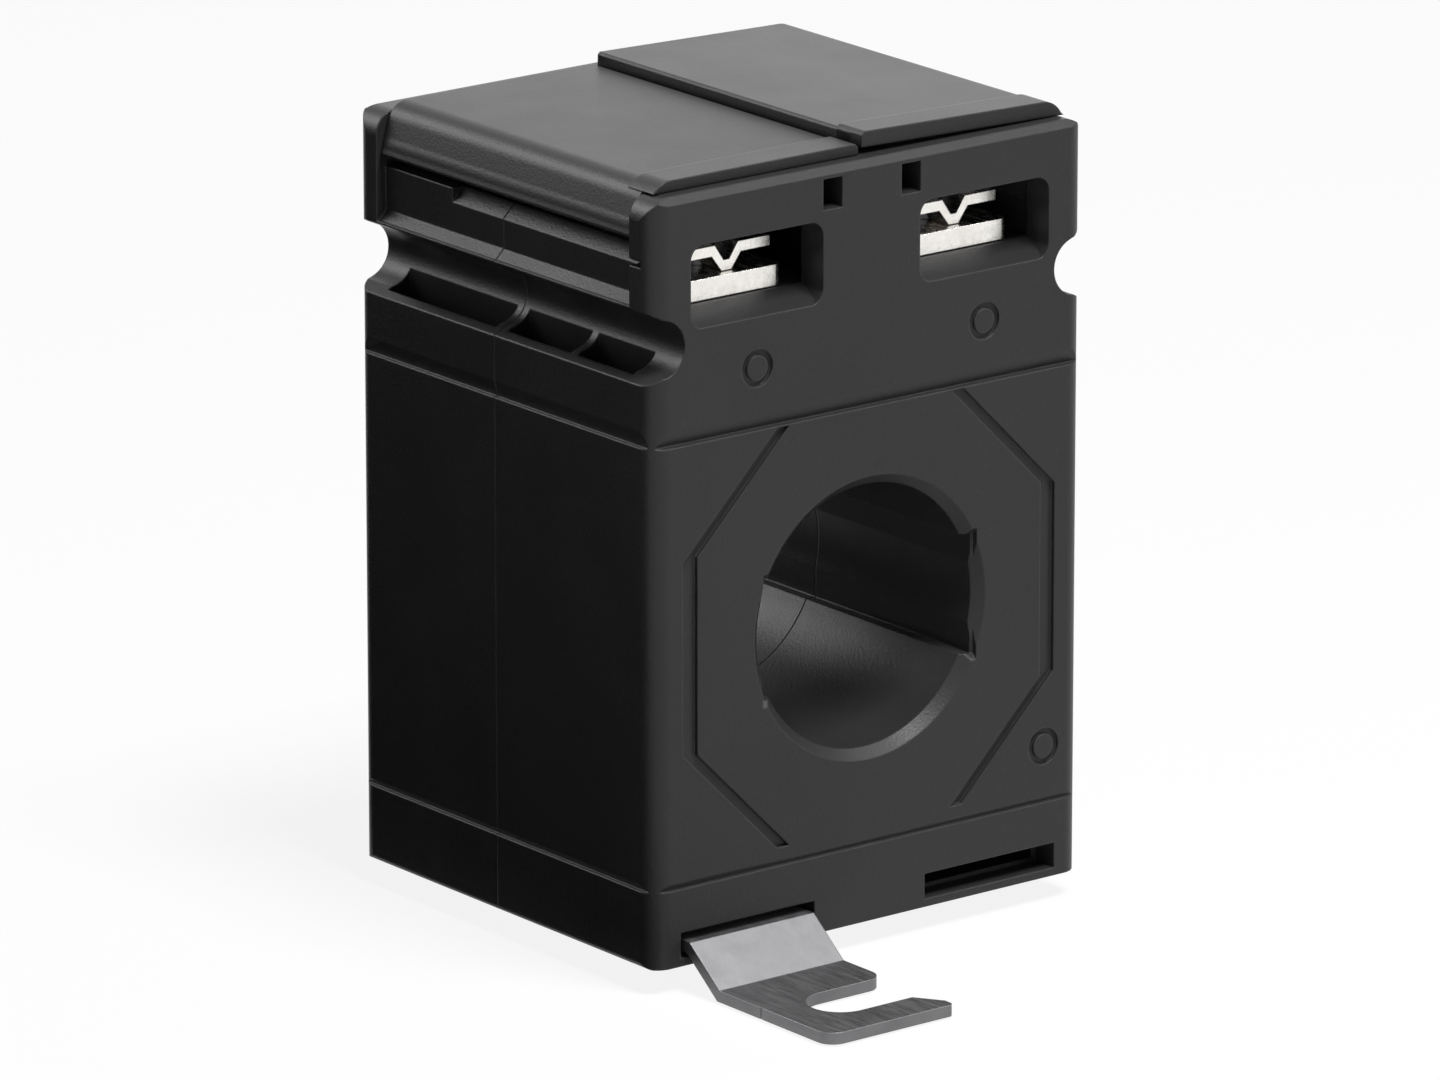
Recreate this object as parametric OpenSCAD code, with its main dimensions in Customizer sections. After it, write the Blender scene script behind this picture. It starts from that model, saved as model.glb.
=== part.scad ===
// Window-type current transformer for panel mounting.
//
// The housing is worked out from the inside: the wound ring core sits round
// the conductor tube, the terminal block stands on the core chamber's roof,
// and the two end faces, the covers and the feet follow from those.
// X runs along the front face to the right, Y from the front face to the rear
// and Z up. The origin is the middle of the mounting plane under the feet.

/* [Conductor passage] */
// Diameter of the round conductor passage
bore_d = 22.6; // [20:0.2:24]
// Width of the bar slot that crosses the round passage
bar_slot_w = 22; // [18:0.5:22.5]
// Height of the bar slot
bar_slot_h = 10.4; // [8:0.2:12]
// Wall of the tube round the passage
tube_wall = 1.3; // [1:0.1:2]
// Flare at the two mouths of the passage
mouth_flare = 0.9; // [0.3:0.1:1.2]

/* [Ring core and winding] */
// Radial thickness of the ring core
core_t = 3.3; // [2.5:0.1:4]
// Width of the ring core along the conductor
core_w = 22; // [18:0.5:26]
// Wall of the two insulating caps on the core
cap_t = 0.6; // [0.4:0.1:1]
// Thickness of the turns inside and outside the ring
turn_t = 0.8; // [0.6:0.1:1.2]
// Width of one visible turn bundle
turn_w = 1.3; // [0.8:0.1:1.5]
// Number of turn bundles round the ring
turn_count = 40; // [24:1:44]
// Thickness of the tape wound over the turns
tape_t = 0.3; // [0.2:0.1:0.6]
// Width of the tape
tape_w = 14; // [8:0.5:15]

/* [Housing walls] */
// Side wall outside the core chamber
side_wall = 1.7; // [1.2:0.1:3]
// Wall behind the front and rear faces
face_wall = 2.2; // [2:0.1:3]
// Free space between the winding and each face wall
end_space = 5.5; // [4:0.1:8]
// Thickness of the two end plates beside the terminals
plate_t = 3; // [2.8:0.1:4]
// Web between the foot channels and the core chamber
floor_web = 2.3; // [1.5:0.1:4]
// Roof between the core chamber and the terminal block
roof_t = 1.8; // [1.2:0.1:3]
// Radius of the upright edges
edge_r = 1.8; // [1:0.1:2.2]
// Radius of the upper corners of the end plates
plate_corner_r = 2; // [1:0.1:2.5]
// Radius of the housing's bottom edges
bottom_r = 0.5; // [0.3:0.1:1]
// Slope along the upper edges of the two faces
top_chamfer = 0.6; // [0.2:0.1:1]
// How far the front shell reaches past the middle of the depth
split_y = 1; // [0:0.5:2]

/* [Face relief] */
// Width of the octagon on the faces, over its upright sides
oct_w = 39.2; // [34:0.2:40]
// Height of the octagon
oct_h = 36; // [34:0.2:37]
// Length cut off each corner of the octagon
oct_cut = 9.8; // [8:0.2:11]
// Width of the groove along the octagon's upright sides
oct_groove_w = 1.5; // [1:0.1:1.8]
// Width of the groove along the octagon's slanting sides
oct_slant_w = 0.9; // [0.6:0.1:1.4]
// Depth of the grooves on the faces
groove_depth = 0.4; // [0.3:0.1:0.9]
// Height of the sloping shadow groove above the octagon
shadow_h = 1.5; // [1:0.1:2]
// Height above the housing's bottom of the lower groove
low_groove_z = 6.5; // [5.5:0.1:7]
// Depth of the two level grooves on the sides
side_groove_depth = 0.3; // [0.2:0.1:0.5]
// Diameter of the round dimples beside the terminals
dimple_d = 3.2; // [2:0.1:4]

/* [Side channels] */
// Depth of the C-shaped channel along each side
channel_depth = 3.4; // [2.6:0.1:4]
// Height of the channel at its mouth
channel_mouth_h = 6.2; // [5.4:0.1:6.4]
// Radius of the channel's rounded bottom
channel_r = 2.5; // [2:0.1:2.7]
// Thickness of the lip along the channel's lower edge
lip_t = 0.8; // [0.6:0.1:1.2]
// Width of the ledge behind the pockets in that lip
lip_ledge = 0.3; // [0.2:0.1:0.8]
// Depth of the pockets below the lip
lip_pocket_h = 1.6; // [0.8:0.1:2]
// Set-back of the side wall above the channel
setback = 1; // [0.6:0.1:1.4]
// Height of the sloping shoulder under each cover
shoulder_h = 1.2; // [0.8:0.1:1.6]

/* [Terminal block] */
// Height of the terminal block
block_h = 6; // [5:0.1:8]
// Thickness of the rib between the two terminals
rib_t = 2.4; // [1.6:0.1:3]
// Height of that rib above the block
rib_h = 7; // [4:0.5:8]
// Width of a wire window
window_w = 13.7; // [12:0.1:14]
// Height of a wire window at its inner side
window_h = 5.8; // [5:0.1:6.4]
// Corner radius of a wire window
window_r = 1.3; // [0.6:0.1:2]
// Drop of the sloping sill towards the outside
sill_drop = 1.2; // [0.6:0.1:1.4]
// Width of a seal window under the plate's top edge
seal_w = 2; // [1.6:0.1:2.4]
// Height of a seal window
seal_h = 2.6; // [2:0.1:2.8]
// Distance of a seal window from the middle
seal_x = 4.1; // [3.6:0.1:4.4]

/* [Clamps] */
// Width of a contact bar
bar_w = 10; // [8:0.5:11]
// Thickness of a contact bar
bar_t = 1.8; // [1:0.1:2.2]
// Distance of a clamp screw behind the front face
screw_y = 8.6; // [8:0.1:10]
// Diameter of the clamp screw's shank
screw_d = 3.9; // [3:0.1:4.2]
// Diameter of the clamp screw's head
head_d = 7.2; // [6:0.1:8]
// Height of the clamp screw's head
head_h = 2.2; // [1.8:0.1:2.8]
// Width across the flats of the nut
nut_af = 7; // [6.4:0.1:8]
// Height of the nut
nut_h = 3.2; // [2.4:0.1:3.6]
// Width of the clamp plate
clamp_w = 9; // [8:0.1:10]
// Sheet thickness of the clamp plate
clamp_t = 0.9; // [0.6:0.1:1.2]
// Height of the clamp plate's wings above the bar at rest
clamp_lift = 1.4; // [1:0.1:2]
// How far a clamp opens
clamp_travel = 2.4; // [1:0.1:2.6]
// Space over the raised screw heads
headroom = 1.2; // [0.8:0.1:3]

/* [Covers] */
// Wall of the terminal covers
cover_t = 1.2; // [0.9:0.1:1.4]
// How far the covers stand above the end plates
cover_proud = 1; // [0.8:0.1:1.3]
// Radius of the covers' outer edges
cover_r = 5; // [4.6:0.1:5.4]
// Set-back of the covers' sides from the housing's sides
cover_setback = 0.6; // [0.4:0.1:1]
// Diameter of the hinge barrel
barrel_d = 2.2; // [2:0.1:2.4]
// Diameter of the hinge pins
pin_d = 1.5; // [1.2:0.1:1.6]
// Gap between the two covers
seam_gap = 0.3; // [0.2:0.1:0.6]
// Depth of the rim that lies on the front plate
rim_depth = 3.3; // [2.8:0.1:4]
// Angle by which the right cover stands open at rest
right_cover_lift = 1.5; // [0:0.5:5]

/* [Feet] */
// Width of a foot
foot_w = 13; // [11:0.5:13.4]
// Sheet thickness of a foot
foot_t = 1; // [0.8:0.1:1.2]
// Distance of a foot's outer edge from the housing's side
foot_inset = 3.4; // [3:0.1:4]
// How far a foot's underside lies below the housing
stand_h = 2; // [1.5:0.1:3]
// Length of the sloping part of a foot, measured level
foot_slope_l = 4; // [3.5:0.1:8]
// Length of the flat part of a foot
foot_flat_l = 14.8; // [12:0.2:18]
// Width of the arm in front of the fixing slot
foot_arm_w = 3.5; // [3:0.1:5]
// Length of the tang inside the housing
tang_l = 14.5; // [8:0.5:15]
// Width of the fixing slot in a foot
fix_slot_w = 5.6; // [4:0.1:6]
// Length of the fixing slot from its open end
fix_slot_l = 9.7; // [7:0.1:10]
// Height of the foot slots in the housing
foot_slot_h = 2.2; // [1.8:0.1:2.4]
// Lip under the foot slots
foot_lip = 0.7; // [0.5:0.1:1]

/* [Hidden] */
$fn = 64;
fit = 0.05;         // clearance between parts that seat on each other
run_fit = 0.1;      // clearance round parts that move
eps = 0.01;         // overlap that keeps unions and cuts clean

// Wound ring, from the tube outwards
tube_corner_r = norm([bar_slot_w / 2 + tube_wall, bar_slot_h / 2 + tube_wall]);
winding_ri = max(tube_corner_r, bore_d / 2 + tube_wall) + 0.3;
cap_ri = winding_ri + turn_t + fit;
core_ri = cap_ri + cap_t + fit;
core_ro = core_ri + core_t;
cap_ro = core_ro + fit + cap_t;
winding_ro = cap_ro + fit + turn_t;
tape_ro = winding_ro + fit + tape_t;
cap_w = core_w + 2 * (fit + cap_t);
winding_w = cap_w + 2 * (fit + turn_t);
chamber_r = tape_ro + 4 * fit;
chamber_d = winding_w + 2 * end_space;

// Outside of the housing
body_w = 2 * (chamber_r + side_wall);
body_d = chamber_d + 2 * face_wall;
half_w = body_w / 2;
half_d = body_d / 2;
foot_slot_z = foot_lip;
foot_x = half_w - foot_inset - foot_w / 2;
foot_gap = 0.2;
foot_end_y = -half_d - foot_gap - foot_slope_l - foot_flat_l;
bore_z = foot_lip + foot_slot_h + floor_web + chamber_r;
roof_z = bore_z + chamber_r + roof_t;
deck_z = roof_z + block_h + fit;
bar_top_z = deck_z + fit + bar_t;
wing_z = bar_top_z + clamp_lift;
head_z = wing_z + clamp_t;
cover_under_z = head_z + head_h + clamp_travel + headroom;
cover_top_z = cover_under_z + cover_t;
body_h = cover_top_z - cover_proud;
band_z = bore_z + oct_h / 2;

// Upper part of the housing
channel_z = deck_z - 2.4;
channel_wall = 1.7;
block_half_w = half_w - channel_depth - channel_wall;
wall_t = 1.5;
hinge_x = half_w - cover_setback - barrel_d / 2;
hinge_z = cover_top_z - cover_r + barrel_d / 2;
wall_top_z = hinge_z - barrel_d / 2 - 0.7;
bay_half_w = half_w - setback - shoulder_h - wall_t;
term_x = bay_half_w - 0.3 - window_w / 2;
plate_in = half_d - plate_t;
rim_front = half_d - plate_t / 2 - 0.2;
shoulder_end_y = 8;
window_top_z = deck_z + window_h;
seal_z = body_h - 0.9 - seal_h;
clamp_y = -half_d + screw_y;
bar_front_y = -half_d + plate_t;
bar_rear_y = half_d * 0.55;
lead_y = bar_rear_y - 2;
lead_r = 0.6;
sleeve_r = 1.1;

// Colours of the materials
shell_colour = [0.09, 0.09, 0.10];
block_colour = [0.16, 0.16, 0.17];
nickel_colour = [0.78, 0.77, 0.74];
zinc_colour = [0.66, 0.67, 0.69];
core_colour = [0.45, 0.46, 0.48];
cap_colour = [0.82, 0.80, 0.72];
copper_colour = [0.70, 0.36, 0.18];
tape_colour = [0.86, 0.72, 0.22];
lead_colour = [0.74, 0.42, 0.24];
sleeve_colour = [0.80, 0.12, 0.10];

// ---------- Helpers ----------

// Extrudes an outline in the X-Z plane from y0 to y1
module along_y(y0, y1) {
    translate([0, y1, 0]) rotate([90, 0, 0]) linear_extrude(y1 - y0) children();
}

// Extrudes an outline in the Y-Z plane from x0 to x1
module along_x(x0, x1) {
    translate([x0, 0, 0]) rotate([90, 0, 90]) linear_extrude(x1 - x0) children();
}

// Cylinder along Y between y0 and y1
module rod_y(x, z, y0, y1, r) {
    translate([x, y1, z]) rotate([90, 0, 0]) cylinder(h = y1 - y0, r = r);
}

// Rectangle with its four corners rounded
module rounded_rect(x0, z0, x1, z1, r) {
    translate([x0 + r, z0]) square([x1 - x0 - 2 * r, z1 - z0]);
    translate([x0, z0 + r]) square([x1 - x0, z1 - z0 - 2 * r]);
    for (x = [x0 + r, x1 - r], z = [z0 + r, z1 - r]) translate([x, z]) circle(r);
}

module both_sides() {
    children();
    mirror([1, 0, 0]) children();
}

// Repeats a shape turned half a turn about Z, for the rear face
module both_faces() {
    children();
    rotate([0, 0, 180]) children();
}

module at_stand() {
    translate([0, 0, stand_h]) children();
}

// ---------- Housing ----------

// Section of the C-shaped channel on the right side
module channel_section() {
    flare_in = channel_depth - channel_r * 0.4;
    translate([half_w - channel_depth + channel_r, channel_z]) circle(channel_r);
    polygon([
        [half_w - flare_in + 1, channel_z - channel_r * 0.95],
        [half_w + 1, channel_z - channel_mouth_h / 2 - 0.5],
        [half_w + 1, channel_z + channel_mouth_h / 2 + 0.5],
        [half_w - flare_in + 1, channel_z + channel_r * 0.95]
    ]);
}

// Cut that sets the side wall back between the end plates, right side.
// The wall ends in a sloping shoulder, below the swinging cover.
module setback_section(shoulder) {
    lip_z = channel_z + channel_mouth_h / 2 + 0.2;
    wall_x = half_w - setback;
    top_x = wall_x - shoulder;
    polygon([
        [half_w - 0.2, lip_z],
        [wall_x, lip_z + setback - 0.2],
        [wall_x, wall_top_z - shoulder],
        [top_x, wall_top_z],
        [bay_half_w - 1, wall_top_z],
        [bay_half_w - 1, body_h + 1],
        [half_w + 1, body_h + 1],
        [half_w + 1, lip_z]
    ]);
}

// Rounded block from which both shells are cut
module housing_block() {
    intersection() {
        along_y(-half_d, half_d) union() {
            rounded_rect(-half_w, 0, half_w, body_h - 2 * plate_corner_r, bottom_r);
            rounded_rect(-half_w, 2 * plate_corner_r, half_w, body_h, plate_corner_r);
        }
        linear_extrude(body_h) rounded_rect(-half_w, -half_d, half_w, half_d, edge_r);
    }
}

// Level V-groove right round the housing, its upper side a long slope
module level_groove(z, h, depth_face, depth_side) {
    both_faces() along_x(-half_w - 1, half_w + 1)
        polygon([
            [-half_d + depth_face, z + 0.2],
            [-half_d - 1, z - 0.1],
            [-half_d - 1, z + h],
            [-half_d, z + h]
        ]);
    both_sides() along_y(-half_d - 1, half_d + 1)
        polygon([
            [half_w - depth_side, z + 0.2],
            [half_w + 1, z - 0.1],
            [half_w + 1, z + h],
            [half_w, z + h]
        ]);
}

// Slope along the front plate's upper edge
module plate_chamfer() {
    along_x(-half_w - 1, half_w + 1) polygon([
        [-half_d - 1, body_h - top_chamfer - 1],
        [-half_d - 1, body_h + 1],
        [-half_d + top_chamfer + 1, body_h + 1]
    ]);
}

function oct_points(w, h, cut) = [
    [-w / 2, -h / 2 + cut], [-w / 2 + cut, -h / 2], [w / 2 - cut, -h / 2], [w / 2, -h / 2 + cut],
    [w / 2, h / 2 - cut], [w / 2 - cut, h / 2], [-w / 2 + cut, h / 2], [-w / 2, h / 2 - cut]
];

// Groove round the octagon on the front face
module octagon_groove() {
    inner_cut = oct_cut - oct_groove_w + oct_slant_w * sqrt(2);
    along_y(-half_d - 1, -half_d + groove_depth) translate([0, bore_z]) difference() {
        polygon(oct_points(oct_w, oct_h, oct_cut));
        polygon(oct_points(oct_w - 2 * oct_groove_w, oct_h + 2 * eps, inner_cut + eps));
    }
}

module passage_section(grow) {
    circle(d = bore_d + 2 * grow, $fn = 96);
    square([bar_slot_w + 2 * grow, bar_slot_h + 2 * grow], center = true);
}

// Flared mouth of the passage at the front face
module passage_mouth() {
    translate([0, -half_d - eps, bore_z]) rotate([-90, 0, 0])
        cylinder(h = mouth_flare, r1 = bore_d / 2 + mouth_flare, r2 = bore_d / 2, $fn = 96);
    slot_x = bar_slot_w / 2;
    slot_z = bar_slot_h / 2;
    flare = mouth_flare * 0.6;
    along_x(-slot_x - flare / 2, slot_x + flare / 2) polygon([
        [-half_d - eps, bore_z - slot_z - flare],
        [-half_d - eps, bore_z + slot_z + flare],
        [-half_d + flare, bore_z + slot_z],
        [-half_d + flare, bore_z - slot_z]
    ]);
}

// Wire window in the front plate, right side, with its sloping sill
module wire_window() {
    x0 = term_x - window_w / 2;
    x1 = term_x + window_w / 2;
    sill_z = deck_z - sill_drop;
    intersection() {
        along_y(-half_d - 1, -plate_in + 1) rounded_rect(x0, sill_z, x1, window_top_z, window_r);
        along_x(x0 - 1, x1 + 1) polygon([
            [-half_d - 1, sill_z - 0.4],
            [-half_d, sill_z],
            [-plate_in, deck_z],
            [-plate_in + 2, deck_z],
            [-plate_in + 2, window_top_z + 1],
            [-half_d - 1, window_top_z + 1]
        ]);
    }
}

module seal_window() {
    along_y(-half_d - 1, -plate_in + 1)
        translate([seal_x - seal_w / 2, seal_z]) square([seal_w, seal_h]);
}

// Slot and inner channel for a foot, right side of the front face
module foot_channel() {
    slot_w = foot_w + 1;
    tang_z = foot_slot_z + 0.35;
    translate([foot_x - slot_w / 2, -half_d - 1, foot_slot_z]) cube([slot_w, 3.5, foot_slot_h]);
    translate([foot_x - foot_w / 2 - run_fit, -half_d - 1, tang_z])
        cube([foot_w + 2 * run_fit, 1.6 + tang_l, foot_t + 2 * fit]);
}

// Arc-shaped clearance in the front plate for the rim of the opening cover, right side
module rim_sweep_pocket() {
    r_in = body_h + fit - hinge_z - 0.1;
    r_out = norm([half_w - hinge_x, body_h - hinge_z]) + 0.5;
    intersection() {
        along_y(-rim_front - 0.15, -plate_in + 0.1) translate([hinge_x, hinge_z]) difference() {
            circle(r_out);
            circle(r_in);
        }
        translate([hinge_x - 0.2, -half_d, hinge_z - r_in - fit]) cube([2 * r_out, half_d, 3 * r_out]);
    }
}

// Pocket between the channel's inner ledge and its outer lip, right side
module lip_pocket(y0, y1) {
    pocket_z = channel_z - channel_mouth_h / 2 - lip_pocket_h;
    translate([half_w - channel_depth + lip_ledge, y0, pocket_z])
        cube([channel_depth - lip_ledge - lip_t, y1 - y0, channel_z - pocket_z]);
}

module lip_pockets() {
    y_end = half_d - plate_t - 0.5;
    lip_pocket(-y_end, -y_end * 0.55);
    lip_pocket(-y_end * 0.5, split_y - lip_t);
    lip_pocket(split_y + lip_t, y_end);
}

// Space for the core, the terminal block and the clamps
module housing_hollow() {
    rod_y(0, bore_z, -chamber_d / 2, chamber_d / 2, chamber_r, $fn = 96);
    translate([-block_half_w, -plate_in, roof_z]) cube([2 * block_half_w, 2 * plate_in, block_h + 1]);
    translate([-bay_half_w, -plate_in, deck_z])
        cube([2 * bay_half_w, 2 * plate_in, body_h]);
    both_sides() translate([term_x, lead_y, bore_z + chamber_r * 0.6])
        cylinder(h = chamber_r, r = sleeve_r + 0.5);
}

// Post that keeps the winding off the face wall, and the conductor tube
module face_posts() {
    post_r = (winding_ri + winding_ro) / 2;
    for (a = [45:90:315])
        rod_y(post_r * cos(a), bore_z + post_r * sin(a), -chamber_d / 2 - 0.5,
            -winding_w / 2 - fit, 1.6, $fn = 32);
}

module housing() {
    difference() {
        union() {
            difference() {
                housing_block();
                housing_hollow();
                both_sides() {
                    along_y(-half_d - 1, half_d + 1) channel_section();
                    along_y(-plate_in, shoulder_end_y) setback_section(shoulder_h);
                    along_y(shoulder_end_y - eps, plate_in) setback_section(eps);
                    lip_pockets();
                }
            }
            along_y(-half_d + 0.2, half_d - 0.2) translate([0, bore_z]) passage_section(tube_wall);
            both_faces() face_posts();
        }
        along_y(-half_d - 1, half_d + 1) translate([0, bore_z]) passage_section(0);
        both_faces() passage_mouth();
        both_faces() octagon_groove();
        both_faces() plate_chamfer();
        level_groove(band_z, shadow_h, groove_depth + 0.1, side_groove_depth);
        level_groove(low_groove_z, 0.7, groove_depth * 0.7, side_groove_depth);
        both_sides() {
            wire_window();
            seal_window();
            rim_sweep_pocket();
            both_faces() foot_channel();
            rod_y(hinge_x, hinge_z, -plate_in - 1.3, plate_in + 1.3, pin_d / 2 + run_fit / 2, $fn = 32);
            dimple(term_x, channel_z - channel_mouth_h / 2);
        }
        dimple(half_w - 1.3 * dimple_d, low_groove_z + 1.6 * dimple_d);
    }
}

// Shallow ring on the front face
module dimple(x, z) {
    along_y(-half_d - 1, -half_d + 0.3) translate([x, z]) difference() {
        circle(d = dimple_d, $fn = 32);
        circle(d = dimple_d - 1.1, $fn = 32);
    }
}

// Pegs that line the two shells up, in the solid corners outside the core chamber
module shell_pegs(r, length) {
    for (x = [-half_w + 3.4, half_w - 3.4], z = [low_groove_z + 1.6, band_z - 1.5])
        rod_y(x, z, split_y - 1, split_y + length, r, $fn = 32);
}

module front_shell() {
    at_stand() color(shell_colour) {
        intersection() {
            housing();
            translate([-body_w, -body_d, -1]) cube([2 * body_w, body_d + split_y - fit / 2, 2 * body_h]);
        }
        shell_pegs(1, 2.5);
    }
}

module rear_shell() {
    at_stand() color(shell_colour) difference() {
        intersection() {
            housing();
            translate([-body_w, split_y + fit / 2, -1]) cube([2 * body_w, body_d, 2 * body_h]);
        }
        shell_pegs(1 + run_fit / 2, 2.8);
    }
}

// ---------- Terminal covers ----------

// Section of the right cover: flat top, round outer edge and hinge barrel
module cover_section() {
    arc_x = half_w - cover_setback - cover_r;
    arc_z = cover_top_z - cover_r;
    translate([seam_gap / 2, cover_under_z]) square([arc_x - seam_gap / 2 + eps, cover_t]);
    intersection() {
        translate([arc_x, arc_z]) difference() {
            circle(cover_r);
            circle(cover_r - cover_t);
        }
        translate([arc_x, hinge_z]) square([cover_r, cover_r]);
    }
    translate([hinge_x, hinge_z]) circle(d = barrel_d);
}

module right_cover_closed() {
    reach = plate_in - 2 * run_fit;
    rim_x = half_w - 1;
    tab_t = 1;
    difference() {
        union() {
            along_y(-reach, reach) cover_section();
            along_y(-rim_front, -rim_front + rim_depth)
                rounded_rect(seam_gap / 2, body_h + fit, rim_x, cover_top_z, 0.45);
            rod_y(hinge_x, hinge_z, -plate_in - 1.1, plate_in + 1.1, pin_d / 2, $fn = 32);
            translate([seal_x - seal_w / 2 + 0.1, -reach, seal_z - 0.3])
                cube([seal_w - 0.2, tab_t, cover_under_z - seal_z + 0.5]);
        }
        rod_y(seal_x, seal_z + seal_h / 2, -half_d, -reach + tab_t + 1, 0.7, $fn = 32);
    }
}

module right_terminal_cover() {
    at_stand() color(shell_colour)
        translate([hinge_x, 0, hinge_z]) rotate([0, right_cover_lift, 0])
        translate([-hinge_x, 0, -hinge_z]) right_cover_closed();
}

module left_terminal_cover() {
    at_stand() color(shell_colour) mirror([1, 0, 0]) right_cover_closed();
}

// ---------- Terminal block and clamps ----------

module terminal_block() {
    w = 2 * (block_half_w - fit);
    l = 2 * (plate_in - fit);
    pocket_r = nut_af / 2 / cos(30) + fit;
    at_stand() color(block_colour) difference() {
        union() {
            translate([-w / 2, -l / 2, roof_z + fit]) cube([w, l, block_h - fit]);
            translate([-rib_t / 2, -l / 2, roof_z + fit]) cube([rib_t, l, block_h + rib_h]);
        }
        both_sides() {
            translate([term_x, clamp_y, deck_z - nut_h - 2 * fit])
                cylinder(h = nut_h + 1, r = pocket_r, $fn = 6);
            translate([term_x, clamp_y, roof_z - 1]) cylinder(h = block_h, d = screw_d + 0.8);
            translate([term_x, lead_y, roof_z - 1]) cylinder(h = block_h + 2, r = sleeve_r + fit);
            translate([term_x - bar_w / 2, bar_rear_y + wall_t, roof_z + wall_t]) cube([bar_w, l, block_h]);
        }
    }
}

// Contact bar of the right terminal
module contact_bar() {
    at_stand() color(nickel_colour) translate([term_x, 0, deck_z + fit]) difference() {
        linear_extrude(bar_t) rounded_rect(-bar_w / 2, bar_front_y + 0.2, bar_w / 2, bar_rear_y, 0.6);
        translate([0, clamp_y, -1]) cylinder(h = bar_t + 2, d = screw_d + 0.3);
        translate([0, lead_y, -1]) cylinder(h = bar_t + 2, r = lead_r + fit);
    }
}

// Clamp plate of the right terminal: two wings and a V that stands on the bar
module clamp_plate() {
    v_half = 1.5;
    half = clamp_w / 2;
    low = fit;
    at_stand() color(nickel_colour) translate([term_x, clamp_y, bar_top_z]) difference() {
        along_y(-clamp_w / 2, clamp_w / 2) polygon([
            [-half, clamp_lift + clamp_t], [-half, clamp_lift],
            [-v_half, clamp_lift], [-0.5, low], [0.5, low], [v_half, clamp_lift],
            [half, clamp_lift], [half, clamp_lift + clamp_t],
            [v_half * 0.8, clamp_lift + clamp_t], [0.3, low + clamp_t],
            [-0.3, low + clamp_t], [-v_half * 0.8, clamp_lift + clamp_t]
        ]);
        translate([0, 0, -1]) cylinder(h = clamp_lift + clamp_t + 2, d = screw_d + 0.3);
    }
}

// Clamp screw of the right terminal, with a cross recess
module clamp_screw() {
    shank_l = head_z - deck_z + nut_h + 1.4;
    at_stand() color(nickel_colour) translate([term_x, clamp_y, 0]) difference() {
        union() {
            translate([0, 0, head_z + fit]) cylinder(h = head_h - 0.5, d = head_d);
            translate([0, 0, head_z + fit + head_h - 0.5 - eps])
                cylinder(h = 0.5 + eps, d1 = head_d, d2 = head_d - 1);
            translate([0, 0, head_z + fit - shank_l]) cylinder(h = shank_l + eps, d = screw_d);
        }
        for (a = [0, 90]) rotate([0, 0, a])
            translate([-head_d * 0.36, -0.45, head_z + head_h - 0.9]) cube([head_d * 0.72, 0.9, 2]);
    }
}

module clamp_nut() {
    at_stand() color(zinc_colour) translate([term_x, clamp_y, deck_z - nut_h - fit]) difference() {
        cylinder(h = nut_h, r = nut_af / 2 / cos(30), $fn = 6);
        translate([0, 0, -1]) cylinder(h = nut_h + 2, d = screw_d + run_fit);
    }
}

module left_contact_bar() { mirror([1, 0, 0]) contact_bar(); }
module right_contact_bar() { contact_bar(); }
module left_clamp_plate() { mirror([1, 0, 0]) clamp_plate(); }
module right_clamp_plate() { clamp_plate(); }
module left_clamp_screw() { mirror([1, 0, 0]) clamp_screw(); }
module right_clamp_screw() { clamp_screw(); }
module left_clamp_nut() { mirror([1, 0, 0]) clamp_nut(); }
module right_clamp_nut() { clamp_nut(); }

// ---------- Ring core, winding and leads ----------

// Puts a ring that was made about Z on the axis of the passage
module on_bore_axis() {
    translate([0, 0, bore_z]) rotate([90, 0, 0]) children();
}

module ring_core() {
    at_stand() color(core_colour) on_bore_axis() rotate_extrude($fn = 96)
        translate([core_ri, -core_w / 2]) square([core_t, core_w]);
}

// Channel-shaped cap that covers the front half of the core
module front_core_cap() {
    at_stand() color(cap_colour) on_bore_axis() rotate_extrude($fn = 96) difference() {
        translate([cap_ri, fit / 2]) square([cap_ro - cap_ri, cap_w / 2 - fit / 2]);
        translate([core_ri - fit, -1]) square([core_t + 2 * fit, core_w / 2 + fit + 1]);
    }
}

module rear_core_cap() {
    mirror([0, 1, 0]) front_core_cap();
}

// Section through the turns on one side of the ring, left back by an amount
module turn_section(back) {
    translate([winding_ri + back, -winding_w / 2 + back])
        square([winding_ro - winding_ri - 2 * back, winding_w - 2 * back]);
}

module secondary_winding() {
    at_stand() color(copper_colour) on_bore_axis() difference() {
        union() {
            rotate_extrude($fn = 96) turn_section(turn_t * 0.4);
            for (i = [0:turn_count - 1]) rotate([0, 0, (i + 0.5) * 360 / turn_count])
                translate([0, turn_w / 2, 0]) rotate([90, 0, 0])
                linear_extrude(turn_w) turn_section(0);
        }
        rotate_extrude($fn = 96) translate([cap_ri - fit, -cap_w / 2 - fit])
            square([cap_ro - cap_ri + 2 * fit, cap_w + 2 * fit]);
    }
}

module winding_tape() {
    at_stand() color(tape_colour) on_bore_axis() rotate_extrude($fn = 96)
        translate([winding_ro + fit, -tape_w / 2]) square([tape_t, tape_w]);
}

// Lead from the winding up through the block and the contact bar, right side
module lead_wire() {
    ring_top = bore_z + sqrt(winding_ro * winding_ro - pow(term_x - lead_r, 2));
    solder_z = bar_top_z + fit / 2;
    at_stand() color(lead_colour) translate([term_x, lead_y, 0]) {
        translate([0, 0, ring_top]) cylinder(h = bar_top_z + 0.6 - ring_top, r = lead_r, $fn = 32);
        translate([0, 0, solder_z]) cylinder(h = 0.9, r1 = 1.5, r2 = 0.7, $fn = 32);
    }
}

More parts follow.
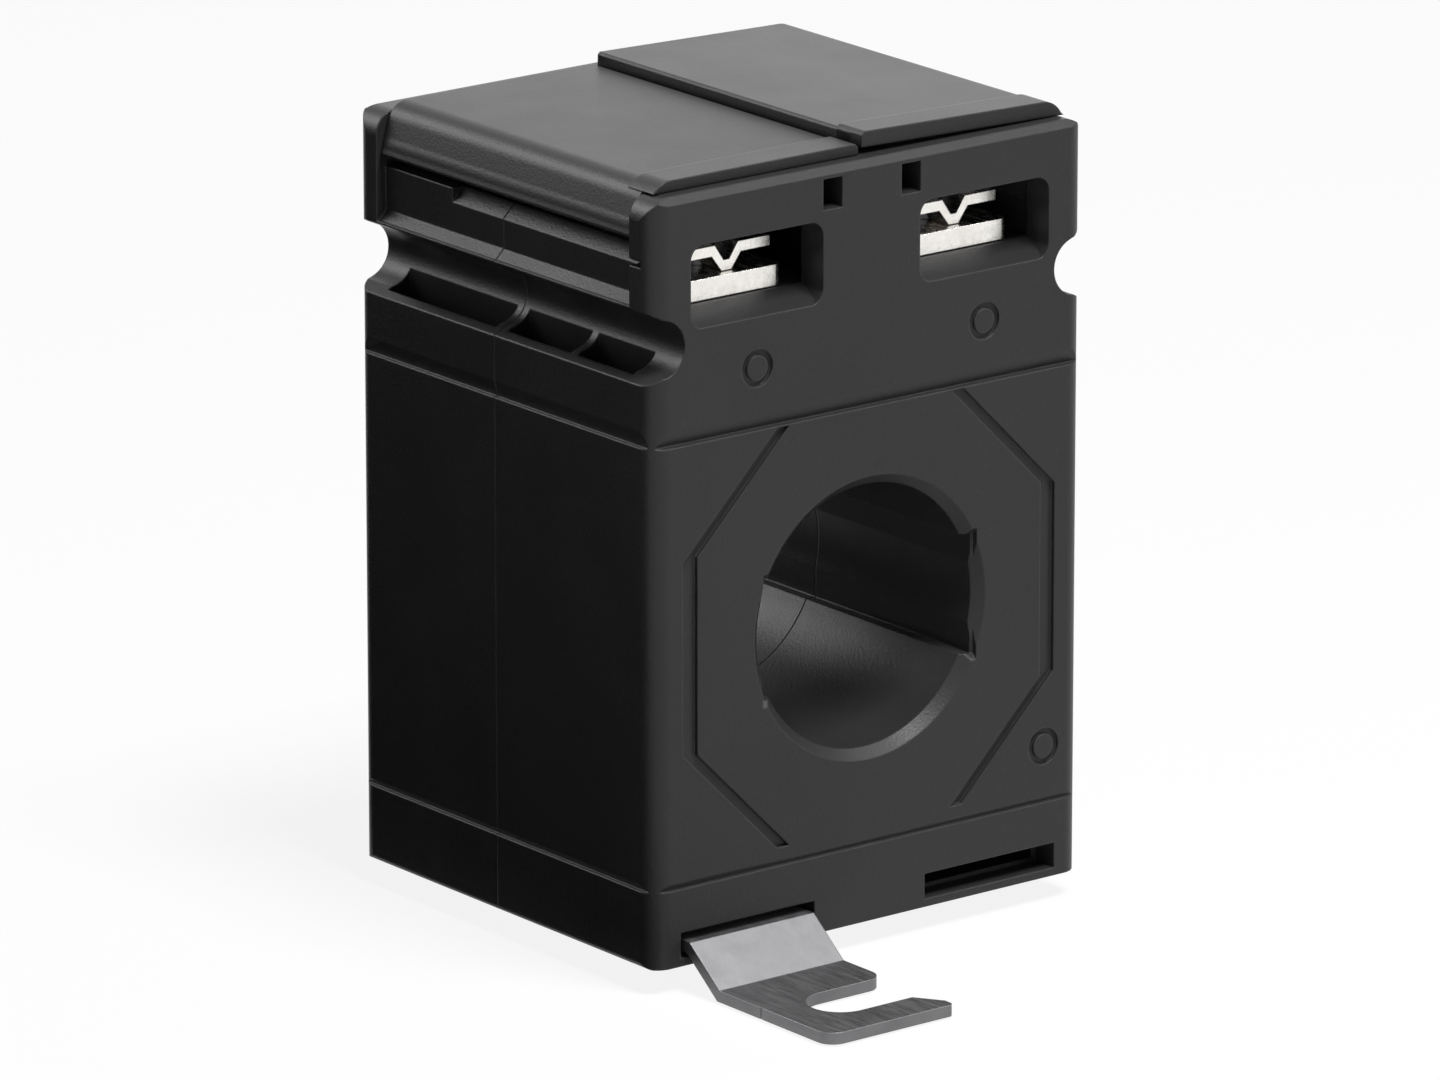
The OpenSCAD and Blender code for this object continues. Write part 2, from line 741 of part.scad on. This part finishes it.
module lead_sleeve() {
    sleeve_z = bore_z + sqrt(winding_ro * winding_ro - pow(term_x - sleeve_r, 2)) + 1;
    at_stand() color(sleeve_colour) translate([term_x, lead_y, sleeve_z]) difference() {
        cylinder(h = deck_z - sleeve_z, r = sleeve_r, $fn = 32);
        translate([0, 0, -1]) cylinder(h = deck_z, r = lead_r + fit, $fn = 32);
    }
}

module left_lead_wire() { mirror([1, 0, 0]) lead_wire(); }
module right_lead_wire() { lead_wire(); }
module left_lead_sleeve() { mirror([1, 0, 0]) lead_sleeve(); }
module right_lead_sleeve() { lead_sleeve(); }

// ---------- Feet ----------

// Side view of the foot strip, in the Y-Z plane
module foot_side() {
    tang_z = foot_slot_z + 0.35 + fit;
    drop = tang_z + stand_h;
    mitre = foot_t * tan(atan(drop / foot_slope_l) / 2);
    y_tang = -half_d + tang_l;
    y_bend = -half_d - foot_gap;
    y_flat = y_bend - foot_slope_l;
    polygon([
        [y_tang, tang_z], [y_tang, tang_z + foot_t],
        [y_bend - mitre, tang_z + foot_t], [y_flat - mitre, -stand_h + foot_t],
        [foot_end_y, -stand_h + foot_t], [foot_end_y, -stand_h],
        [y_flat, -stand_h], [y_bend, tang_z]
    ]);
}

// Foot as seen from above, with its open fixing slot. The arm beside the
// housing has a round corner, the front arm a slanting end.
module foot_plan() {
    x0 = -foot_x - foot_w / 2;
    x1 = -foot_x + foot_w / 2;
    slot_y = foot_end_y + foot_arm_w + fix_slot_w / 2;
    near_y = slot_y + fix_slot_w / 2;
    slot_end_x = x1 - fix_slot_l + fix_slot_w / 2;
    slant = foot_arm_w * 0.45;
    difference() {
        union() {
            translate([x0, near_y]) square([foot_w, half_d - near_y]);
            rounded_rect(x0, foot_end_y, x1 - slant, near_y + 1, 1.5);
            polygon([
                [slot_end_x, foot_end_y], [x1 - 0.3, foot_end_y], [x1, foot_end_y + 0.3],
                [x1, foot_end_y + foot_arm_w / 3], [x1 - slant, foot_end_y + foot_arm_w],
                [slot_end_x, foot_end_y + foot_arm_w]
            ]);
        }
        translate([slot_end_x, slot_y]) circle(d = fix_slot_w);
        translate([slot_end_x, slot_y - fix_slot_w / 2]) square([foot_w, fix_slot_w]);
        corner_cut(x1, near_y, slant);
    }
}

// Cut that rounds the corner at (x, y), whose sides run to -X and +Y
module corner_cut(x, y, r) {
    difference() {
        translate([x - r, y - eps]) square([r + 1, r + eps]);
        translate([x - r, y + r]) circle(r);
    }
}

module front_foot() {
    reach = stand_h + foot_slot_z + foot_t + 1;
    at_stand() color(zinc_colour) intersection() {
        along_x(-foot_x - foot_w, -foot_x + foot_w) foot_side();
        translate([0, 0, -reach]) linear_extrude(2 * reach) foot_plan();
    }
}

module rear_foot() {
    rotate([0, 0, 180]) front_foot();
}

front_shell();
rear_shell();
left_terminal_cover();
right_terminal_cover();
terminal_block();
left_contact_bar();
right_contact_bar();
left_clamp_plate();
right_clamp_plate();
left_clamp_screw();
right_clamp_screw();
left_clamp_nut();
right_clamp_nut();
ring_core();
front_core_cap();
rear_core_cap();
secondary_winding();
winding_tape();
left_lead_wire();
right_lead_wire();
left_lead_sleeve();
right_lead_sleeve();
front_foot();
rear_foot();
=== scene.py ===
"""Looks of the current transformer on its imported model: materials, terminal covers, light and camera."""

import math

import bmesh
import bpy
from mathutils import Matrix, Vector


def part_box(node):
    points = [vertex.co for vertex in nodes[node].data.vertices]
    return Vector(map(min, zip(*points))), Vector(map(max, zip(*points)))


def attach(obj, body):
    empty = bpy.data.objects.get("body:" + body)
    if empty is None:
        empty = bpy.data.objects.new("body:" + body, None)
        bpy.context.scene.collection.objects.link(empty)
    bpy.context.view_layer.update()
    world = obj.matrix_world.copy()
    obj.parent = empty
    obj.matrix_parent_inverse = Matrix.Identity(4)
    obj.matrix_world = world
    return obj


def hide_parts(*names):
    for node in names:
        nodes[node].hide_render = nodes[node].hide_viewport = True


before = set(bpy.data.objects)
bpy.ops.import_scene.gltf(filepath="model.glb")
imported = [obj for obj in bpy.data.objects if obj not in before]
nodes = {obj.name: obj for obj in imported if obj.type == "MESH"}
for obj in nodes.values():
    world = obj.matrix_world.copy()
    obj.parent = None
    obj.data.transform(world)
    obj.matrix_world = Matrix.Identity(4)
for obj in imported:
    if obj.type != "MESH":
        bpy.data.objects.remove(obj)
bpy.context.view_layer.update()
collection = bpy.context.scene.collection


def add_object(name, data):
    o = bpy.data.objects.new(name, data)
    collection.objects.link(o)
    return o


# ---------- Camera ----------

CAM_AZIMUTH = math.radians(-38.0)
CAM_ELEVATION = math.radians(16.3)
CAM_DISTANCE = 1.005
CAM_AIM = Vector((0.0, 0.0, 0.0303))
CAM_LENS = 300.0
CAM_SENSOR = 36.0
CAM_NEAR, CAM_FAR = 0.01, 20.0


def add_camera():
    level = math.cos(CAM_ELEVATION)
    back = Vector((math.sin(CAM_AZIMUTH) * level, -math.cos(CAM_AZIMUTH) * level, math.sin(CAM_ELEVATION)))
    data = bpy.data.cameras.new("camera")
    data.lens = CAM_LENS
    data.sensor_width = CAM_SENSOR
    data.clip_start = CAM_NEAR
    data.clip_end = CAM_FAR
    camera = add_object("camera", data)
    camera.location = CAM_AIM + back * CAM_DISTANCE
    camera.rotation_euler = back.to_track_quat("Z", "Y").to_euler()
    bpy.context.scene.camera = camera


add_camera()
bpy.context.scene.view_settings.view_transform = "Standard"


# ---------- Material helpers ----------
# Scales are in noise cells per metre, radii and depths in metres.

FLOW_SCALE = 55.0
GLOSS_SCALE = 130.0
BLOTCH_SCALE = 240.0
RUB_SCALE = 420.0
SPECK_SCALE = 2600.0
PORE_SHARE = 0.45  # the pores' scale, as a share of the grain's
GRAIN_PART, PORE_PART = 0.7, 0.5  # what grain and pores add to the height
GRAIN_STRENGTH = 0.55
FLOW_TINT = 1.15  # how much lighter the flow marks are
SPECK_PART = 0.2  # how far specks go towards the worn colour
RUB_LEAST, RUB_MOST = 0.25, 0.85  # how far edges go towards it
BLOTCH_PART = 0.75  # how far blotches go towards the dark colour
PLASTIC_EDGE_SHINE = 0.08  # how much less rough edges are
METAL_EDGE_SHINE = 0.06
FACE_COSINE, EDGE_COSINE = 0.995, 0.85  # between the true normal and the rounded one
BEVEL_SAMPLES = 6
PLATED_DEPTH = 0.00002


class Graph:
    """Short way to write one material's nodes."""

    def __init__(self, name):
        self.mat = bpy.data.materials.new(name)
        self.mat.use_nodes = True
        self.tree = self.mat.node_tree
        self.bsdf = self.tree.nodes["Principled BSDF"]
        self.coord = self.node("TexCoord").outputs["Object"]

    def node(self, kind):
        return self.tree.nodes.new("ShaderNode" + kind)

    def put(self, socket, value):
        if isinstance(value, bpy.types.NodeSocket):
            self.tree.links.new(value, socket)
        else:
            socket.default_value = value

    def stretched(self, scale):
        """Object coordinates, scaled along each axis."""
        n = self.node("Mapping")
        n.inputs["Scale"].default_value = scale
        self.put(n.inputs["Vector"], self.coord)
        return n.outputs["Vector"]

    def noise(self, scale, detail, rough, vector=None, distortion=0.0):
        """Noise, mostly between 0.3 and 0.7."""
        n = self.node("TexNoise")
        self.put(n.inputs["Vector"], vector or self.coord)
        n.inputs["Scale"].default_value = scale
        n.inputs["Detail"].default_value = detail
        n.inputs["Roughness"].default_value = rough
        n.inputs["Distortion"].default_value = distortion
        return n.outputs["Fac"]

    def pores(self, scale):
        """Distance to the middle of the nearest cell."""
        n = self.node("TexVoronoi")
        self.put(n.inputs["Vector"], self.coord)
        n.inputs["Scale"].default_value = scale
        return n.outputs["Distance"]

    def span(self, value, lo, hi, out_lo, out_hi):
        """Maps lo to out_lo and hi to out_hi, and clamps the result between them."""
        n = self.node("MapRange")
        self.put(n.inputs["Value"], value)
        for key, v in (("From Min", lo), ("From Max", hi), ("To Min", out_lo), ("To Max", out_hi)):
            n.inputs[key].default_value = v
        return n.outputs["Result"]

    def math(self, op, a, b):
        n = self.node("Math")
        n.operation = op
        self.put(n.inputs[0], a)
        self.put(n.inputs[1], b)
        return n.outputs[0]

    def mix(self, fac, a, b):
        n = self.node("Mix")
        n.data_type = "RGBA"
        self.put(n.inputs["Factor"], fac)
        self.put(n.inputs["A"], (*a, 1.0) if isinstance(a, tuple) else a)
        self.put(n.inputs["B"], (*b, 1.0) if isinstance(b, tuple) else b)
        return n.outputs["Result"]

    def edge(self, radius):
        """Mask that is 1 on sharp edges, and the rounded normal."""
        bevel = self.node("Bevel")
        bevel.samples = BEVEL_SAMPLES
        bevel.inputs["Radius"].default_value = radius
        geometry = self.node("NewGeometry")
        dot = self.node("VectorMath")
        dot.operation = "DOT_PRODUCT"
        self.put(dot.inputs[0], bevel.outputs["Normal"])
        self.put(dot.inputs[1], geometry.outputs["Normal"])
        mask = self.span(dot.outputs["Value"], FACE_COSINE, EDGE_COSINE, 0.0, 1.0)
        return mask, bevel.outputs["Normal"]

    def bump(self, height, strength, distance, normal):
        n = self.node("Bump")
        n.inputs["Strength"].default_value = strength
        n.inputs["Distance"].default_value = distance
        self.put(n.inputs["Height"], height)
        self.put(n.inputs["Normal"], normal)
        return n.outputs["Normal"]

    def finish(self, **values):
        for key, value in values.items():
            self.put(self.bsdf.inputs[key.replace("_", " ")], value)
        return self.mat


def moulded(name, colour, worn, rough, spec, grain=9000.0, radius=0.00022, depth=0.000035):
    """Moulded plastic with spark-eroded grain, faint flow marks and rubbed edges."""
    g = Graph(name)
    edge, normal = g.edge(radius)
    grain_height = g.math("MULTIPLY", g.noise(grain, detail=2.0, rough=0.6), GRAIN_PART)
    pore_height = g.math("MULTIPLY", g.pores(grain * PORE_SHARE), PORE_PART)
    height = g.math("ADD", grain_height, pore_height)
    flow = g.noise(FLOW_SCALE, detail=4.0, rough=0.6, distortion=0.6)
    flow = g.span(flow, 0.35, 0.7, 0.0, 1.0)
    base = g.mix(flow, colour, tuple(c * FLOW_TINT for c in colour))
    specks = g.noise(SPECK_SCALE, detail=1.0, rough=0.4)
    specks = g.span(specks, 0.68, 0.8, 0.0, SPECK_PART)
    base = g.mix(specks, base, worn)
    rub = g.noise(RUB_SCALE, detail=3.0, rough=0.6)
    rub = g.span(rub, 0.35, 0.65, RUB_LEAST, RUB_MOST)
    base = g.mix(g.math("MULTIPLY", edge, rub), base, worn)
    gloss = g.noise(GLOSS_SCALE, detail=3.0, rough=0.55)
    gloss = g.span(gloss, 0.3, 0.7, rough - 0.015, rough + 0.02)
    gloss = g.math("SUBTRACT", gloss, g.math("MULTIPLY", edge, PLASTIC_EDGE_SHINE))
    return g.finish(
        Base_Color=base,
        Roughness=gloss,
        Specular_IOR_Level=spec,
        Normal=g.bump(height, GRAIN_STRENGTH, depth, normal),
    )


def plated(name, colour, dark, rough, grain, radius=0.00012, brushed=(1.0, 1.0, 1.0), bump=0.25):
    """Plated sheet or turned metal with crystalline blotches and drawn lines."""
    g = Graph(name)
    edge, normal = g.edge(radius)
    lines = g.noise(grain, detail=3.0, rough=0.65, vector=g.stretched(brushed))
    blotch = g.noise(BLOTCH_SCALE, detail=4.0, rough=0.6, distortion=0.8)
    blotch = g.span(blotch, 0.38, 0.68, 0.0, BLOTCH_PART)
    gloss = g.span(lines, 0.3, 0.7, rough - 0.07, rough + 0.09)
    gloss = g.math("SUBTRACT", gloss, g.math("MULTIPLY", edge, METAL_EDGE_SHINE))
    return g.finish(
        Base_Color=g.mix(blotch, colour, dark),
        Metallic=1.0,
        Roughness=gloss,
        Normal=g.bump(lines, bump, PLATED_DEPTH, normal),
    )


# ---------- Materials of the CAD nodes ----------
# The drawn lines run along Y, where the noise is stretched.

SHEET_LINES = (1.0, 0.12, 1.0)
FOOT_LINES = (1.0, 0.1, 1.0)
STRIP_LINES = (1.0, 0.02, 1.0)

shell = moulded("moulded_black", (0.024, 0.024, 0.025), (0.055, 0.055, 0.057), 0.38, 0.24)
block = moulded("block_black", (0.022, 0.022, 0.023), (0.05, 0.05, 0.052), 0.5, 0.36)
cap = moulded("cap_natural", (0.66, 0.62, 0.52), (0.74, 0.71, 0.63), 0.48, 0.4, grain=5000.0)
tape = moulded("winding_tape", (0.72, 0.50, 0.07), (0.78, 0.6, 0.18), 0.3, 0.5, grain=1500.0)
sleeve = moulded("lead_sleeve", (0.42, 0.03, 0.02), (0.5, 0.06, 0.04), 0.4, 0.4, grain=6000.0)
nickel = plated("nickel_plate", (0.93, 0.91, 0.87), (0.80, 0.77, 0.72), 0.24, 2200.0, brushed=SHEET_LINES)
zinc = plated(
    "zinc_plate", (0.20, 0.20, 0.205), (0.16, 0.16, 0.165), 0.50, 2600.0, brushed=FOOT_LINES, bump=0.35
)
screw = plated("screw_black", (0.10, 0.10, 0.105), (0.06, 0.06, 0.062), 0.38, 3000.0)
core = plated("core_strip", (0.40, 0.41, 0.43), (0.30, 0.30, 0.31), 0.42, 5200.0, brushed=STRIP_LINES)
copper = plated("enamelled_wire", (0.62, 0.24, 0.09), (0.50, 0.17, 0.06), 0.22, 3200.0)
lead = plated("tinned_lead", (0.74, 0.56, 0.42), (0.60, 0.40, 0.27), 0.3, 1800.0)

LOOKS = (
    (shell, ("front_shell", "rear_shell", "left_terminal_cover", "right_terminal_cover")),
    (block, ("terminal_block",)),
    (nickel, ("left_contact_bar", "right_contact_bar", "left_clamp_plate", "right_clamp_plate")),
    (screw, ("left_clamp_screw", "right_clamp_screw")),
    (zinc, ("left_clamp_nut", "right_clamp_nut", "front_foot", "rear_foot")),
    (core, ("ring_core",)),
    (cap, ("front_core_cap", "rear_core_cap")),
    (copper, ("secondary_winding",)),
    (tape, ("winding_tape",)),
    (lead, ("left_lead_wire", "right_lead_wire")),
    (sleeve, ("left_lead_sleeve", "right_lead_sleeve")),
)
for material, names in LOOKS:
    for name in names:
        slots = nodes[name].data.materials
        slots.clear()
        slots.append(material)


# ---------- Terminal covers ----------
# Each moulding stands for the plain CAD cover on the same hinge, with a tight shoulder, a leaning flank and
# a raised rim. Sections are (x, z) of a right cover, in metres.

low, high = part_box("left_terminal_cover")
OUT_X, TOP_Z, PIN_END = -low[0], high[2], high[1]
CAD_SHOULDER_R = 0.005  # sets the hinge line
BARREL_R = 0.0011
PIN_R = 0.00075
PIN_L = 0.0013
PIN_START = 0.98  # where a pin begins inside the barrel, as a share of the barrel's end
HINGE_X = OUT_X - BARREL_R
HINGE_Z = TOP_Z - CAD_SHOULDER_R + BARREL_R
COVER_END = PIN_END - PIN_L
SEAM = 0.00015  # half the gap between the two covers
WALL = 0.0012
SHOULDER_R = 0.002
LEAN = math.radians(15.0)
FLANK_LOW = HINGE_Z - 0.00082
EDGE_BEVEL = 0.0002
RIM_RISE = 0.00025
RIM_BEVEL = 0.0003
RIM_ARC_CLEAR = 0.0001  # the rim's arc ends this far above the front plate
RIM_FRONT, RIM_BACK = -0.0185, -0.0152
PLATE_TOP = TOP_Z - 0.00095
TAB_X, TAB_HALF_W = 0.0041, 0.0009
TAB_LOW = TOP_Z - 0.0048
TAB_T = 0.001
EYE_Z, EYE_R = TOP_Z - 0.0032, 0.0007
ARC_STEPS = 10
DISC_STEPS = 40
NEAR_ZERO = 1e-6
SMOOTH_BELOW = math.radians(30.0)


def lean_x(z, inset=0.0):
    """The flank's outer line at height z, or a line set in from it."""
    reach = BARREL_R - inset - (z - HINGE_Z) * math.sin(LEAN)
    return HINGE_X + reach / math.cos(LEAN)


def shoulder_arc(top, radius, set_in=0.0):
    """Arc from the flat top to the leaning flank, set in by set_in."""
    centre_z = top - radius
    centre_x = lean_x(centre_z, radius)
    start = math.radians(90.0)
    angles = [start - i * (start - LEAN) / ARC_STEPS for i in range(ARC_STEPS + 1)]
    r = radius - set_in
    return [(centre_x + r * math.cos(a), centre_z + r * math.sin(a)) for a in angles]


def shell_section(top):
    """Closed section of the wall, from the seam over the shoulder to the flank's lower edge."""
    seam = [(SEAM, top - EDGE_BEVEL), (SEAM + EDGE_BEVEL, top)]
    foot = [
        (lean_x(FLANK_LOW + EDGE_BEVEL), FLANK_LOW + EDGE_BEVEL),
        (lean_x(FLANK_LOW) - EDGE_BEVEL, FLANK_LOW),
        (lean_x(FLANK_LOW, WALL), FLANK_LOW),
    ]
    outer = shoulder_arc(top, SHOULDER_R)
    inner = shoulder_arc(top, SHOULDER_R, WALL)
    return seam + outer + foot + inner[::-1] + [(SEAM, top - WALL)]


def rim_section(top):
    """Closed section of the rim over the front plate, its end rounded like the shoulder."""
    arc = [p for p in shoulder_arc(top, SHOULDER_R + RIM_RISE) if p[1] > PLATE_TOP + RIM_ARC_CLEAR]
    seam = [(SEAM, PLATE_TOP), (SEAM, top - RIM_BEVEL), (SEAM + RIM_BEVEL, top)]
    return seam + arc + [(arc[-1][0] + RIM_BEVEL, PLATE_TOP)]


def disc(x, z, r):
    """Round outline about (x, z)."""
    turn = [2 * math.pi * i / DISC_STEPS for i in range(DISC_STEPS)]
    return [(x + r * math.cos(a), z + r * math.sin(a)) for a in turn]


def tab_outline(high_z):
    """Outline of the seal tab with one point on each ray from its eyelet, as many as the eyelet has."""
    points = []
    for i in range(DISC_STEPS):
        a = 2 * math.pi * i / DISC_STEPS
        dx, dz = math.cos(a), math.sin(a)
        reach_z = (high_z - EYE_Z) if dz > 0 else (EYE_Z - TAB_LOW)
        k = min(TAB_HALF_W / max(abs(dx), NEAR_ZERO), reach_z / max(abs(dz), NEAR_ZERO))
        points.append((TAB_X + k * dx, EYE_Z + k * dz))
    return points


def add_prism(bm, outline, y0, y1, hole=None):
    """Adds a solid with this outline from y0 to y1, with a hole of as many points if one is given."""
    steps = range(len(outline))
    rings = [[bm.verts.new((x, y, z)) for x, z in outline] for y in (y0, y1)]
    if hole is None:
        bm.faces.new(rings[0])
        bm.faces.new(rings[1])
    else:
        inner = [[bm.verts.new((x, y, z)) for x, z in hole] for y in (y0, y1)]
        for i in steps:
            for k in (0, 1):
                bm.faces.new((rings[k][i], rings[k][i - 1], inner[k][i - 1], inner[k][i]))
            bm.faces.new((inner[0][i], inner[0][i - 1], inner[1][i - 1], inner[1][i]))
    for i in steps:
        bm.faces.new((rings[0][i], rings[0][i - 1], rings[1][i - 1], rings[1][i]))


def place_cover(bm, side, lift):
    """Lifts a right cover about its hinge line and mirrors it for the left side."""
    for v in bm.verts:
        dx, dz = v.co.x - HINGE_X, v.co.z - HINGE_Z
        v.co.x = side * (HINGE_X + dx * math.cos(lift) + dz * math.sin(lift))
        v.co.z = HINGE_Z - dx * math.sin(lift) + dz * math.cos(lift)
    bmesh.ops.recalc_face_normals(bm, faces=bm.faces)


def smooth_mesh(bm, name):
    """Mesh of bm, shaded smooth across its shallow edges."""
    for face in bm.faces:
        face.smooth = True
    for e in bm.edges:
        e.smooth = e.calc_face_angle(0.0) < SMOOTH_BELOW
    mesh = bpy.data.meshes.new(name)
    bm.to_mesh(mesh)
    bm.free()
    return mesh


def terminal_cover(name, side, rise, lift):
    """A terminal cover. side is 1 right or -1 left, rise raises its top, lift is its angle at rest."""
    top = TOP_Z - RIM_RISE + rise
    bm = bmesh.new()
    add_prism(bm, shell_section(top), -COVER_END, COVER_END)
    add_prism(bm, rim_section(top + RIM_RISE), RIM_FRONT, RIM_BACK)
    add_prism(bm, disc(HINGE_X, HINGE_Z, BARREL_R), -COVER_END, COVER_END)
    for sign in (-1, 1):
        add_prism(bm, disc(HINGE_X, HINGE_Z, PIN_R), sign * COVER_END * PIN_START, sign * PIN_END)
    eyelet = disc(TAB_X, EYE_Z, EYE_R)
    add_prism(bm, tab_outline(top - 0.5 * WALL), -COVER_END, -COVER_END + TAB_T, hole=eyelet)
    place_cover(bm, side, lift)
    mesh = smooth_mesh(bm, name)
    mesh.materials.append(shell)
    return add_object(name, mesh)


RIGHT_RISE = 0.0004
RIGHT_LIFT = math.radians(1.5)  # the right cover rests slightly open
for word, side, rise, lift in (("left", -1, 0.0, 0.0), ("right", 1, RIGHT_RISE, RIGHT_LIFT)):
    piece = terminal_cover(word + "_cover_moulding", side, rise, lift)
    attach(piece, word + "_cover")
    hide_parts(word + "_terminal_cover")


# ---------- World and floor ----------

WHITE = (1.0, 1.0, 1.0, 1.0)
SOFT_STRENGTH = 0.05  # the world's light on matt surfaces
FLOOR_HALF = 3.0
FLOOR_DROP = 0.0002  # keeps the floor clear of the feet
FLOOR_GREY = (0.92, 0.92, 0.92, 1.0)
FLOOR_ROUGH = 0.9
FLOOR_WHITE_PART = 0.88  # the floor's plain white share, the rest takes the object's shadow


def background_mask(tree):
    """1 for rays from the camera and for reflected and refracted ones, which see a white background."""
    path = tree.nodes.new("ShaderNodeLightPath")
    mask = path.outputs["Is Camera Ray"]
    for ray in ("Is Glossy Ray", "Is Transmission Ray"):
        larger = tree.nodes.new("ShaderNodeMath")
        larger.operation = "MAXIMUM"
        tree.links.new(mask, larger.inputs[0])
        tree.links.new(path.outputs[ray], larger.inputs[1])
        mask = larger.outputs[0]
    return mask


def mix_shaders(tree, mask, usual, seen, target):
    """Joins to target the usual shader where mask is 0 and the seen one where it is 1."""
    mix = tree.nodes.new("ShaderNodeMixShader")
    tree.links.new(mask, mix.inputs["Fac"])
    tree.links.new(usual.outputs[0], mix.inputs[1])
    tree.links.new(seen.outputs[0], mix.inputs[2])
    tree.links.new(mix.outputs[0], target.inputs["Surface"])


def background_shader(tree, strength):
    shader = tree.nodes.new("ShaderNodeBackground")
    shader.inputs["Color"].default_value = WHITE
    shader.inputs["Strength"].default_value = strength
    return shader


def add_world():
    world = bpy.data.worlds.new("studio")
    bpy.context.scene.world = world
    world.use_nodes = True
    tree = world.node_tree
    tree.nodes.clear()
    soft = background_shader(tree, SOFT_STRENGTH)
    white = background_shader(tree, 1.0)
    mix_shaders(tree, background_mask(tree), soft, white, tree.nodes.new("ShaderNodeOutputWorld"))


def floor_material():
    mat = bpy.data.materials.new("floor_pale")
    mat.use_nodes = True
    tree = mat.node_tree
    matt = tree.nodes["Principled BSDF"]
    matt.inputs["Base Color"].default_value = FLOOR_GREY
    matt.inputs["Roughness"].default_value = FLOOR_ROUGH
    matt.inputs["Specular IOR Level"].default_value = 0.0
    white = tree.nodes.new("ShaderNodeEmission")
    white.inputs["Color"].default_value = WHITE
    white.inputs["Strength"].default_value = 1.0
    part = tree.nodes.new("ShaderNodeMath")
    part.operation = "MULTIPLY"
    part.inputs[1].default_value = FLOOR_WHITE_PART
    tree.links.new(background_mask(tree), part.inputs[0])
    mix_shaders(tree, part.outputs[0], matt, white, tree.nodes["Material Output"])
    return mat


def add_floor():
    bm = bmesh.new()
    bmesh.ops.create_grid(bm, x_segments=1, y_segments=1, size=FLOOR_HALF)
    mesh = bpy.data.meshes.new("floor")
    bm.to_mesh(mesh)
    bm.free()
    mesh.materials.append(floor_material())
    floor = add_object("floor", mesh)
    floor.location = (0.0, 0.0, -FLOOR_DROP)


add_world()
add_floor()


# ---------- Lamps and cards ----------
# Both cards darken what the object's left side mirrors: one lies on the floor, one stands to the left.

LAMP_AIM = Vector((0.0, 0.0, 0.05))
CARD_GREY = (0.01, 0.01, 0.01, 1.0)
CARD_FRONT_Y = -0.04
CARD_NEAR_X, CARD_FAR_X, CARD_REAR_Y = -0.024, -0.6, 0.6
FLAG_X, FLAG_REAR_Y, FLAG_H = -0.25, 0.9, 0.06


def add_lamp(name, place, size, power, diffuse=True):
    """Area lamp of size width by height, turned to the object. Without diffuse, it only gives gloss."""
    data = bpy.data.lights.new(name, "AREA")
    data.shape = "RECTANGLE"
    data.size, data.size_y = size
    data.energy = power
    lamp = add_object(name, data)
    lamp.location = place
    lamp.rotation_euler = (Vector(place) - LAMP_AIM).to_track_quat("Z", "Y").to_euler()
    lamp.visible_diffuse = diffuse


def add_card(name, corners):
    """A dark card with these corners, unseen by the camera and without a shadow."""
    mesh = bpy.data.meshes.new(name)
    mesh.from_pydata(corners, [], [(0, 1, 2, 3)])
    mat = bpy.data.materials.new(name)
    mat.use_nodes = True
    tree = mat.node_tree
    dark = tree.nodes.new("ShaderNodeEmission")
    dark.inputs["Color"].default_value = CARD_GREY
    tree.links.new(dark.outputs[0], tree.nodes["Material Output"].inputs["Surface"])
    mesh.materials.append(mat)
    o = add_object(name, mesh)
    o.visible_camera = False
    o.visible_shadow = False


add_lamp("key_light", (0.05, -0.35, 0.87), (0.30, 0.30), 9.6)
add_lamp("back_light", (-0.46, 0.68, 0.50), (0.6, 0.4), 5.0, diffuse=False)
add_lamp("rear_light", (0.62, 0.80, 0.36), (0.9, 0.6), 0.8, diffuse=False)
add_lamp("edge_light", (0.57, -0.44, 0.68), (0.25, 0.25), 2.2, diffuse=False)
add_card(
    "left_card",
    [
        (CARD_FAR_X, CARD_FRONT_Y, 0.0),
        (CARD_NEAR_X, CARD_FRONT_Y, 0.0),
        (CARD_NEAR_X, CARD_REAR_Y, 0.0),
        (CARD_FAR_X, CARD_REAR_Y, 0.0),
    ],
)
add_card(
    "left_flag",
    [
        (FLAG_X, CARD_FRONT_Y, 0.0),
        (FLAG_X, FLAG_REAR_Y, 0.0),
        (FLAG_X, FLAG_REAR_Y, FLAG_H),
        (FLAG_X, CARD_FRONT_Y, FLAG_H),
    ],
)
